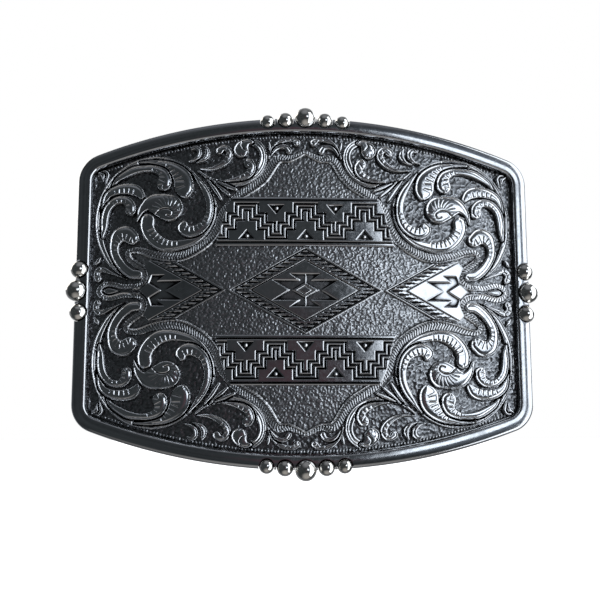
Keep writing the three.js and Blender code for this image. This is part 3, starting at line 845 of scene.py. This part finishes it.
def outline(inset):
    """The buckle's outline, moved inwards: round corners, straight sides, and arched top and bottom."""
    arch = ARCH_RADIUS - inset
    corner = CORNER_RADIUS - inset
    arch_centre = HALF_HEIGHT - ARCH_RADIUS
    corner_x = HALF_WIDTH - inset - corner
    corner_z = arch_centre + math.sqrt((arch - corner) ** 2 - corner_x**2)
    turn = math.degrees(math.atan2(corner_z - arch_centre, corner_x))
    upper = arc(corner_x, corner_z, corner, 0, turn, 10)[:-1] + arc(0, arch_centre, arch, turn, 90, 45)
    top = upper + [(-x, z) for x, z in reversed(upper[:-1])]
    side_top = top[-1][1]
    half = top + [(inset - HALF_WIDTH, z) for z in np.linspace(side_top, -side_top, 41)[1:-1]]
    return half + [(-x, -z) for x, z in half]


def make_ground(material):
    """The sunk ground: a stippled ring that shows, round a plain core under the pattern plate."""
    edge = high_mm("ground_plate")
    x, z = grid(-edge.x - 0.2, edge.x + 0.2, -edge.z - 0.2, edge.z + 0.2, 0.15)
    quarter = [(0, 23.5), (-7.5, 18.5), (-14, 13), (-17.5, 6.2), (-28.5, 3)]
    left = quarter + [(px, -pz) for px, pz in reversed(quarter)]
    core = left + [(-px, pz) for px, pz in reversed(left[1:-1])]
    core_depth = polygon_depth(core, x, z)
    outer = polygon_depth(outline(GROUND_INSET), x, z)
    depth = np.minimum(outer, -core_depth)
    height = GROUND_TOP - GROUND_RELIEF + 0.045 * noise(x, z, 0.3, 3) + 0.03 * noise(x, z, 0.5, 4)
    beads = np.abs((x / 0.6) % 1 - 0.5) * 0.6
    height += 0.2 * bump(outer - 0.5, 0.2) * bump(beads, 0.2) * (np.abs(z) > 20)
    relief_piece("ground_plate_relief", x, z, depth, height, BACK_TOP + 0.06, GROUND_TOP,
                 node="ground_plate", slot="ground_silver", material=material)
    x, z = grid(-30, 30, -25, 25, 0.5)
    depth = polygon_depth(core, x, z) - 0.02
    height = np.full(x.shape, GROUND_TOP - GROUND_RELIEF)
    relief_piece("ground_plate_core", x, z, depth, height, BACK_TOP + 0.06, GROUND_TOP,
                 node="ground_plate", slot="ground_silver", material=material)


def make_back_plate(material):
    edge = high_mm("back_plate")
    x, z = grid(-edge.x - 0.5, edge.x + 0.5, -edge.z - 0.5, edge.z + 0.5, 0.6)
    depth = polygon_depth(outline(BACK_INSET), x, z)
    height = np.full(x.shape, BACK_TOP - 0.02)
    relief_piece("back_plate_sheet", x, z, depth, height, 0.0, BACK_TOP, rear_shade=0.55,
                 node="back_plate", slot="rim_silver", material=material)


def ring_mesh(section):
    """A closed ring round the outline whose section is a list of (inset, height) corners."""
    rings = [[(x, bow(x) - height, z) for x, z in outline(inset)] for inset, height in section]
    count = len(rings[0])
    starts = [k * count for k in range(len(rings))]
    faces = [face for a, b in zip(starts, starts[1:] + [0]) for face in strip(a, b, count)]
    return np.array(rings).reshape(-1, 3), faces


def rim_section():
    """Outer edge rounded over, a flat slightly crowned top, a small chamfer and the inner wall."""
    foot = BACK_TOP + 0.05
    edge = 0.8
    shoulder = arc(edge, RIM_TOP - 0.04 - edge, edge, 180, 100, 8)
    crown = [(1.3, RIM_TOP), (2.3, RIM_TOP - 0.01), (2.42, RIM_TOP - 0.06)]
    wall = [(RIM_WIDTH - 0.12, RIM_TOP - 0.3), (RIM_WIDTH, RIM_TOP - 0.5), (RIM_WIDTH, foot)]
    return [(0.0, foot), (0.0, foot + 1.0)] + shoulder + crown + wall


def ball_nodes():
    return sorted(name for name in frame["nodes"] if name.startswith("ball_"))


def ball_place(node):
    """Centre and radius of a ball."""
    low, high = low_mm(node), high_mm(node)
    return (low + high) / 2, (high.z - low.z) / 2


def seat_cutter(name, centre, radius):
    """A temporary upright cylinder that cuts one ball's seat, with its axis across the plate."""
    sides = 40
    ends = circle(centre.x, centre.z, radius, sides)
    points = [(x * MM, y * MM, z * MM) for y in SEAT_REACH for x, z in ends]
    faces = [list(range(sides)), list(range(sides, 2 * sides))[::-1]] + strip(sides, 0, sides)
    mesh = bpy.data.meshes.new(name)
    mesh.from_pydata(points, [], faces)
    cutter = bpy.data.objects.new(name, mesh)
    bpy.context.scene.collection.objects.link(cutter)
    return cutter


def make_rim(material):
    """The rim bar, with a seat cut for each ball."""
    points, faces = ring_mesh(rim_section())
    points[:, 1] += 0.012 * noise(points[:, 0], points[:, 2], 3.0, 8)
    rim = make_object("rim_frame_bar", points, faces, node="rim_frame", slot="rim_silver", material=material)
    for node in ball_nodes():
        centre, radius = ball_place(node)
        cutter = seat_cutter(f"cut_{node}", centre, radius + SEAT_GAP)
        modifier = rim.modifiers.new("seat", "BOOLEAN")
        modifier.object = cutter
        modifier.operation = "DIFFERENCE"
        modifier.solver = "EXACT"
        graph = bpy.context.evaluated_depsgraph_get()
        cut_mesh = bpy.data.meshes.new_from_object(rim.evaluated_get(graph))
        rim.modifiers.clear()
        rim.data = cut_mesh
        bpy.data.objects.remove(cutter)
    rim.data.set_sharp_from_angle(angle=math.radians(RIM_SHARP_ANGLE))


def make_balls(material):
    """Soldered balls, slightly dented by handling and flattened behind."""
    form = bmesh.new()
    bmesh.ops.create_icosphere(form, subdivisions=5, radius=1)
    unit = np.array([v.co for v in form.verts])
    faces = [[v.index for v in f.verts] for f in form.faces]
    form.free()
    for seed, node in enumerate(ball_nodes()):
        centre, radius = ball_place(node)
        dents = noise(unit[:, 0] + 3 * unit[:, 1], unit[:, 2] - 2 * unit[:, 1], 0.6, 20 + seed)
        points = unit * (radius * (0.985 + 0.013 * dents))[:, None]
        points[:, 1] = np.minimum(points[:, 1], radius * 0.97)
        points += np.array(centre)
        # Painted shade: each ball darkens towards its back, where it sits in its seat in the rim.
        oxide_and_shade = ramp((points[:, 1] - centre.y) / radius * 1.2 + 0.15)
        make_object(f"{node}_polished", points, faces, node=node, slot="ball_silver", material=material,
                    oxide_and_shade=oxide_and_shade)


# ---- Hinge, loop and hook behind ----

HINGE = Vector(frame["joints"][0]["pos_m"]) / MM
TUBE_BORE = 1.7
TUBE_FOOT = 1.3
BAIL_CORNER = 3.0
BAIL_PIN_END = 13.0
BAIL_STEP = 1.2
HOOK_FOOT = 1.0
HOOK_TURN = 2.2
HOOK_NOSE = 0.95
HOOK_THROAT = 0.8


def sweep(path, section):
    """A tube of a closed section carried along a path in the plane y = const; ends are capped."""
    heading = np.gradient(path, axis=0)
    side = np.cross(heading / np.linalg.norm(heading, axis=1)[:, None], (0, 1, 0))
    points = [place + across * u + (0, v, 0) for place, across in zip(path, side) for u, v in section]
    n = len(section)
    last = (len(path) - 1) * n
    faces = [face for start in range(0, last, n) for face in strip(start, start + n, n)]
    faces += [list(range(n))[::-1], list(range(last, last + n))]
    return np.array(points), faces


def bail_path(reach, half_height):
    """Centre line of the wire loop: in the tube, round four corners and back into the tube."""
    spots = [(0, BAIL_PIN_END), (0, half_height), (reach, half_height)]
    spots += [(x, -z) for x, z in reversed(spots)]
    spots = np.array([(x, 0.0, z) for x, z in spots])
    path = [spots[0]]
    for before, here, after in zip(spots, spots[1:], spots[2:]):
        start = here + (before - here) / np.linalg.norm(before - here) * BAIL_CORNER
        end = here + (after - here) / np.linalg.norm(after - here) * BAIL_CORNER
        path += [start * (1 - t) ** 2 + here * 2 * t * (1 - t) + end * t**2 for t in np.linspace(0, 1, 14)]
    path.append(spots[-1])
    dense = [path[0]]
    for a, b in zip(path, path[1:]):
        count = max(1, int(np.linalg.norm(b - a) / BAIL_STEP))
        dense += [a + (b - a) * (k + 1) / count for k in range(count)]
    return np.array(dense)


def make_bail(material):
    """The wire loop, lying on the plate as the joint's rest does."""
    low, high = low_mm("bail"), high_mm("bail")
    wire = HINGE.x - low.x
    tilt = math.asin((high.y - wire - HINGE.y) / (high.x - wire - HINGE.x))
    reach = (high.x - wire - HINGE.x) / math.cos(tilt)
    points, faces = sweep(bail_path(reach, high.z - wire), circle(0, 0, wire * 0.985, 28))
    turn = Matrix.Rotation(tilt, 3, "Z")
    points = np.array([turn @ Vector(p) for p in points]) + np.array(HINGE)
    make_object("bail_wire", points, faces,
                node="bail", body="bail", slot="hardware_nickel", material=material)


def make_hinge_tube(material):
    """A drawn tube on a narrow soldered foot, with broken edges at both ends of the bore."""
    low, high = low_mm("hinge_tube"), high_mm("hinge_tube")
    radius = (high.x - low.x) / 2
    drop = HINGE.y - bow(HINGE.x) - 0.05
    half = high.z
    sides = 72
    points = []
    for i in range(sides):
        angle = 2 * math.pi * i / sides
        ux, uy = math.sin(angle), -math.cos(angle)
        outer = radius - 0.01
        if uy < 0:
            foot = (TUBE_FOOT + 0.35 * (-uy) ** 8) / max(abs(ux), 1e-6)
            outer = max(outer, min(drop / max(-uy, 1e-6), foot))
        upper = [(outer - 0.16, half), (outer, half - 0.16)]
        bore = [(TUBE_BORE + 0.12, half), (TUBE_BORE, half - 0.12)]
        loop = [(r, -z) for r, z in upper] + upper[::-1] + bore + [(r, -z) for r, z in reversed(bore)]
        points += [(HINGE.x + r * ux, HINGE.y + r * uy, z) for r, z in loop]
    n = len(loop)
    faces = [face for i in range(sides) for face in strip(i * n, (i + 1) % sides * n, n)]
    make_object("hinge_tube_soldered", points, faces,
                node="hinge_tube", slot="hardware_nickel", material=material)


def make_hook_base(material):
    """The domed disc under the belt hook."""
    low, high = low_mm("hook_base"), high_mm("hook_base")
    centre_x = (low.x + high.x) / 2
    radius = (high.x - low.x) / 2
    bottom, crown, sides = 0.05, 0.92, 64
    profile = [(radius - 0.1, bottom), (radius, 0.2), (radius, 0.55)]
    profile += [(radius - 0.15, 0.78), (radius - 0.5, 0.9)]
    points = [(centre_x, bow(centre_x) + bottom, 0)]
    points += [(x, bow(x) + y, z) for r, y in profile for x, z in circle(centre_x, 0, r, sides)]
    points.append((centre_x, bow(centre_x) + crown, 0))
    starts = [1 + k * sides for k in range(len(profile))]
    faces = [[0, 1 + i, 1 + (i + 1) % sides] for i in range(sides)]
    faces += [face for a, b in zip(starts, starts[1:]) for face in strip(b, a, sides)]
    faces += [[len(points) - 1, starts[-1] + (i + 1) % sides, starts[-1] + i] for i in range(sides)]
    make_object("hook_base_disc", points, faces, node="hook_base", slot="hardware_nickel", material=material)


def make_hook(material):
    """The belt hook: a bent stem with rounded edges."""
    low, high = low_mm("hook_post"), high_mm("hook_post")
    centre_x = (low_mm("hook_base").x + high_mm("hook_base").x) / 2
    stem = high.x - centre_x
    inner = centre_x - stem
    top = high.y - bow(low.x + HOOK_NOSE)
    side = [(high.x, HOOK_FOOT)]
    side += arc(high.x - HOOK_TURN, top - HOOK_TURN, HOOK_TURN, 0, 90, 8)
    side += arc(low.x + HOOK_NOSE, top - HOOK_NOSE, HOOK_NOSE, 90, 270, 10)
    side += arc(inner - HOOK_THROAT, top - 2 * HOOK_NOSE - HOOK_THROAT, HOOK_THROAT, 90, 0, 6)
    side.append((inner, HOOK_FOOT))
    form = bmesh.new()
    rings = [[form.verts.new((x * MM, (y + bow(x)) * MM, z * MM)) for x, y in side] for z in (low.z, high.z)]
    form.faces.new(rings[0])
    form.faces.new(rings[1][::-1])
    for i in range(len(side)):
        j = (i + 1) % len(side)
        form.faces.new((rings[0][j], rings[0][i], rings[1][i], rings[1][j]))
    long_edges = [e for f in form.faces if len(f.verts) > 4 for e in f.edges]
    bmesh.ops.bevel(form, geom=long_edges, offset=0.45 * MM, segments=4, profile=0.5, affect="EDGES",
                    clamp_overlap=True)
    bmesh.ops.recalc_face_normals(form, faces=form.faces)
    form.verts.index_update()
    points = np.array([v.co for v in form.verts]) / MM
    faces = [[v.index for v in f.verts] for f in form.faces]
    form.free()
    make_object("hook_post_bent", points, faces, node="hook_post", slot="hardware_nickel", material=material)


# ---- Materials ----


class Graph:
    """The node tree of a material or of the world, with the few kinds of node used here."""

    def __init__(self, owner):
        owner.use_nodes = True
        self.nodes = owner.node_tree.nodes
        self.link = owner.node_tree.links.new

    def add(self, kind, **settings):
        node = self.nodes.new(f"ShaderNode{kind}")
        for name, value in settings.items():
            setattr(node, name, value)
        return node

    def feed(self, node, **values):
        """Sets a node's inputs to a number or colour, or links them to another node's output."""
        for name, value in values.items():
            socket = node.inputs[name]
            if isinstance(value, bpy.types.NodeSocket):
                self.link(value, socket)
            else:
                socket.default_value = (*value, 1) if isinstance(value, tuple) else value

    def coordinates(self, kind):
        return self.add("TexCoord").outputs[kind]

    def map_range(self, source, low, high, to_low=0, to_high=1):
        node = self.add("MapRange", clamp=True)
        names = ("Value", "From Min", "From Max", "To Min", "To Max")
        self.feed(node, **dict(zip(names, (source, low, high, to_low, to_high))))
        return node.outputs["Result"]

    def total(self, first, second):
        """Sum of two outputs, kept between 0 and 1."""
        node = self.add("Math", operation="ADD", use_clamp=True)
        self.link(first, node.inputs[0])
        self.link(second, node.inputs[1])
        return node.outputs["Value"]

    def noise(self, place, scale, detail, stretch=None):
        node = self.add("TexNoise")
        if stretch:
            mapping = self.add("Mapping")
            mapping.inputs["Scale"].default_value = stretch
            self.link(place, mapping.inputs["Vector"])
            place = mapping.outputs["Vector"]
        self.feed(node, Vector=place, Scale=scale, Detail=detail, Roughness=0.6)
        return node.outputs["Fac"]

    def mix(self, factor, first, second):
        node = self.add("Mix", data_type="RGBA")
        self.feed(node, Factor=factor, A=first, B=second)
        return node.outputs["Result"]


def silver(name, bright, oxide, smooth, rough, start, end, grain=0.004, grain_scale=2600, stretch=None):
    """Oxidised silver: bright where it stands proud, black where the oxide was left in the hollows, and dark
    where painted shade is set in the oxide_and_shade attribute.
    """
    material = bpy.data.materials.new(name)
    graph = Graph(material)
    shader = graph.nodes["Principled BSDF"]
    place = graph.coordinates("Object")
    oxide_and_shade_fac = graph.add("Attribute", attribute_name="oxide_and_shade").outputs["Fac"]
    patches = graph.map_range(graph.noise(place, 260, 5), 0.35, 0.7, -0.12, 0.16)
    black = graph.total(graph.map_range(oxide_and_shade_fac, start, end), patches)
    dull = graph.map_range(graph.noise(place, 1500, 3), 0.3, 0.75, -0.05, 0.08)
    relief = graph.add("Bump")
    graph.feed(relief, Strength=1.0, Distance=grain * MM, Height=graph.noise(place, grain_scale, 3, stretch))
    worn = graph.total(graph.map_range(black, 0, 1, smooth, rough), dull)
    graph.feed(shader, Roughness=worn, Metallic=1.0, Normal=relief.outputs["Normal"])
    graph.link(graph.mix(black, bright, oxide), shader.inputs["Base Color"])
    return material


def floor_material():
    material = bpy.data.materials.new("pale_floor")
    graph = Graph(material)
    shader = graph.nodes["Principled BSDF"]
    shade = graph.map_range(graph.noise(graph.coordinates("Object"), 40, 3), 0, 1, 0.86, 0.9)
    tone = graph.add("CombineColor")
    graph.feed(tone, Red=shade, Green=shade, Blue=shade)
    graph.link(tone.outputs["Color"], shader.inputs["Base Color"])
    graph.feed(shader, Roughness=0.7)
    shader.inputs["Emission Color"].default_value = (1, 1, 1, 1)
    shader.inputs["Emission Strength"].default_value = 1.0
    return material


# ---- Camera, light and floor ----

CAMERA_DISTANCE = 0.18
CAMERA_ELEVATION = -8.38
CAMERA_AZIMUTH = -2.92
CAMERA_ROLL = -0.14
CAMERA_LENS = 56.86
CAMERA_SHIFT = (-0.0077, -0.0128)
LIGHT_DISTANCE = 1.0

# What the silver mirrors: (azimuth, elevation), the angles where it starts and where it is full, its colour.
GLOWS = {
    "warm": ((2, -1), 9, 3, (0.085, 0.05, 0.06)),
    "sky": ((33, 9), 26, 8, (0.17, 0.2, 0.245)),
    "ceiling": ((0, 66), 40, 10, (0.2, 0.21, 0.23)),
    "table": ((10, -68), 46, 14, (0.34, 0.33, 0.32)),
    "rear": ((180, 10), 85, 35, (0.3, 0.31, 0.33)),
}


def from_angles(azimuth, elevation, distance):
    a, e = math.radians(azimuth), math.radians(elevation)
    return Vector((math.sin(a) * math.cos(e), -math.cos(a) * math.cos(e), math.sin(e))) * distance


def make_camera():
    camera = bpy.data.objects.new("camera", bpy.data.cameras.new("camera"))
    bpy.context.scene.collection.objects.link(camera)
    camera.location = from_angles(CAMERA_AZIMUTH, CAMERA_ELEVATION, CAMERA_DISTANCE)
    look = (-camera.location).to_track_quat("-Z", "Y").to_matrix()
    camera.rotation_euler = (look @ Matrix.Rotation(math.radians(CAMERA_ROLL), 3, "Z")).to_euler()
    camera.data.lens = CAMERA_LENS
    camera.data.shift_x, camera.data.shift_y = CAMERA_SHIFT
    camera.data.clip_start = 0.005
    bpy.context.scene.camera = camera


def softbox(name, azimuth, elevation, width, height, power, colour):
    light = bpy.data.lights.new(name, "AREA")
    light.shape = "RECTANGLE"
    light.size = width
    light.size_y = height
    light.energy = power
    light.color = colour
    lamp = bpy.data.objects.new(name, light)
    bpy.context.scene.collection.objects.link(lamp)
    lamp.location = from_angles(azimuth, elevation, LIGHT_DISTANCE)
    lamp.rotation_euler = (-lamp.location).to_track_quat("-Z", "Y").to_euler()
    lamp.visible_camera = False


def make_lights():
    """Two windows to the right, and two softboxes that light the back."""
    softbox("window", 22, 7.4, 0.29, 0.29, 0.5, (0.86, 0.93, 1.0))
    softbox("side_window", 67, 2, 0.95, 2.6, 16.0, (0.9, 0.95, 1.0))
    softbox("rear_left", -140, 25, 0.8, 0.6, 2.4, (1.0, 0.96, 0.9))
    softbox("rear_right", 140, 20, 0.7, 0.8, 2.4, (0.9, 0.95, 1.0))


def glow(graph, direction, towards, start, end):
    """0 to 1 as the direction turns towards the given azimuth and elevation, all angles in degrees."""
    dot = graph.add("VectorMath", operation="DOT_PRODUCT")
    dot.inputs[1].default_value = from_angles(*towards, 1)
    graph.link(direction, dot.inputs[0])
    return graph.map_range(dot.outputs["Value"], math.cos(math.radians(start)), math.cos(math.radians(end)))


def make_world():
    """White for the camera; what the silver mirrors is a dim room with daylight to the right."""
    world = bpy.data.worlds.new("studio")
    bpy.context.scene.world = world
    graph = Graph(world)
    back = graph.nodes["Background"]
    back.inputs["Color"].default_value = (1, 1, 1, 1)
    direction = graph.coordinates("Generated")
    blotches = graph.map_range(graph.noise(direction, 5, 3), 0.3, 0.7)
    tone = graph.mix(blotches, (0.02, 0.023, 0.025), (0.055, 0.062, 0.066))
    for towards, start, end, colour in GLOWS.values():
        tone = graph.mix(glow(graph, direction, towards, start, end), tone, colour)
    room = graph.add("Background")
    graph.feed(room, Color=tone)
    mix = graph.add("MixShader")
    graph.feed(mix, Fac=graph.add("LightPath").outputs["Is Camera Ray"])
    graph.link(room.outputs["Background"], mix.inputs[1])
    graph.link(back.outputs["Background"], mix.inputs[2])
    graph.link(mix.outputs["Shader"], graph.nodes["World Output"].inputs["Surface"])


def make_floor():
    half = 0.9
    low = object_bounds()[0].z - 0.0004
    mesh = bpy.data.meshes.new("floor")
    corners = [(-half, -half, low), (half, -half, low), (half, half, low), (-half, half, low)]
    mesh.from_pydata(corners, [], [(0, 1, 2, 3)])
    mesh.materials.append(floor_material())
    floor = bpy.data.objects.new("floor", mesh)
    bpy.context.scene.collection.objects.link(floor)
    floor.visible_glossy = False
    floor.visible_diffuse = False


make_camera()
make_lights()
make_world()
make_floor()

relief_silver = silver("relief_silver", (0.74, 0.75, 0.77), (0.015, 0.015, 0.016), 0.13, 0.35, 0.55, 0.76)
panel_silver = silver("panel_silver", (0.64, 0.65, 0.67), (0.012, 0.012, 0.013), 0.12, 0.32, 0.52, 0.68)
field_silver = silver("field_silver", (0.68, 0.69, 0.71), (0.015, 0.015, 0.016), 0.22, 0.4, 0.5, 0.72)
ground_silver = silver("ground_silver", (0.52, 0.53, 0.55), (0.015, 0.014, 0.013), 0.18, 0.34, 0.4, 0.66)
rim_silver = silver("rim_silver", (0.6, 0.61, 0.63), (0.03, 0.03, 0.031), 0.13, 0.4, 0.6, 0.9, grain=0.002,
                    stretch=(0.35, 1, 2.4))
ball_silver = silver("ball_silver", (0.86, 0.84, 0.8), (0.05, 0.045, 0.04), 0.08, 0.3, 0.5, 1.0, grain=0.02,
                     grain_scale=1300)
nickel = silver("hardware_nickel", (0.66, 0.65, 0.63), (0.2, 0.19, 0.18), 0.22, 0.4, 0.6, 1.0)

make_scrolls(relief_silver)
make_medallions(relief_silver)
make_bands(panel_silver)
make_diamonds(panel_silver)
make_panel(field_silver)
make_ground(ground_silver)
make_back_plate(rim_silver)
make_rim(rim_silver)
make_balls(ball_silver)
make_bail(nickel)
make_hinge_tube(nickel)
make_hook_base(nickel)
make_hook(nickel)

bpy.context.scene.view_settings.view_transform = "Standard"
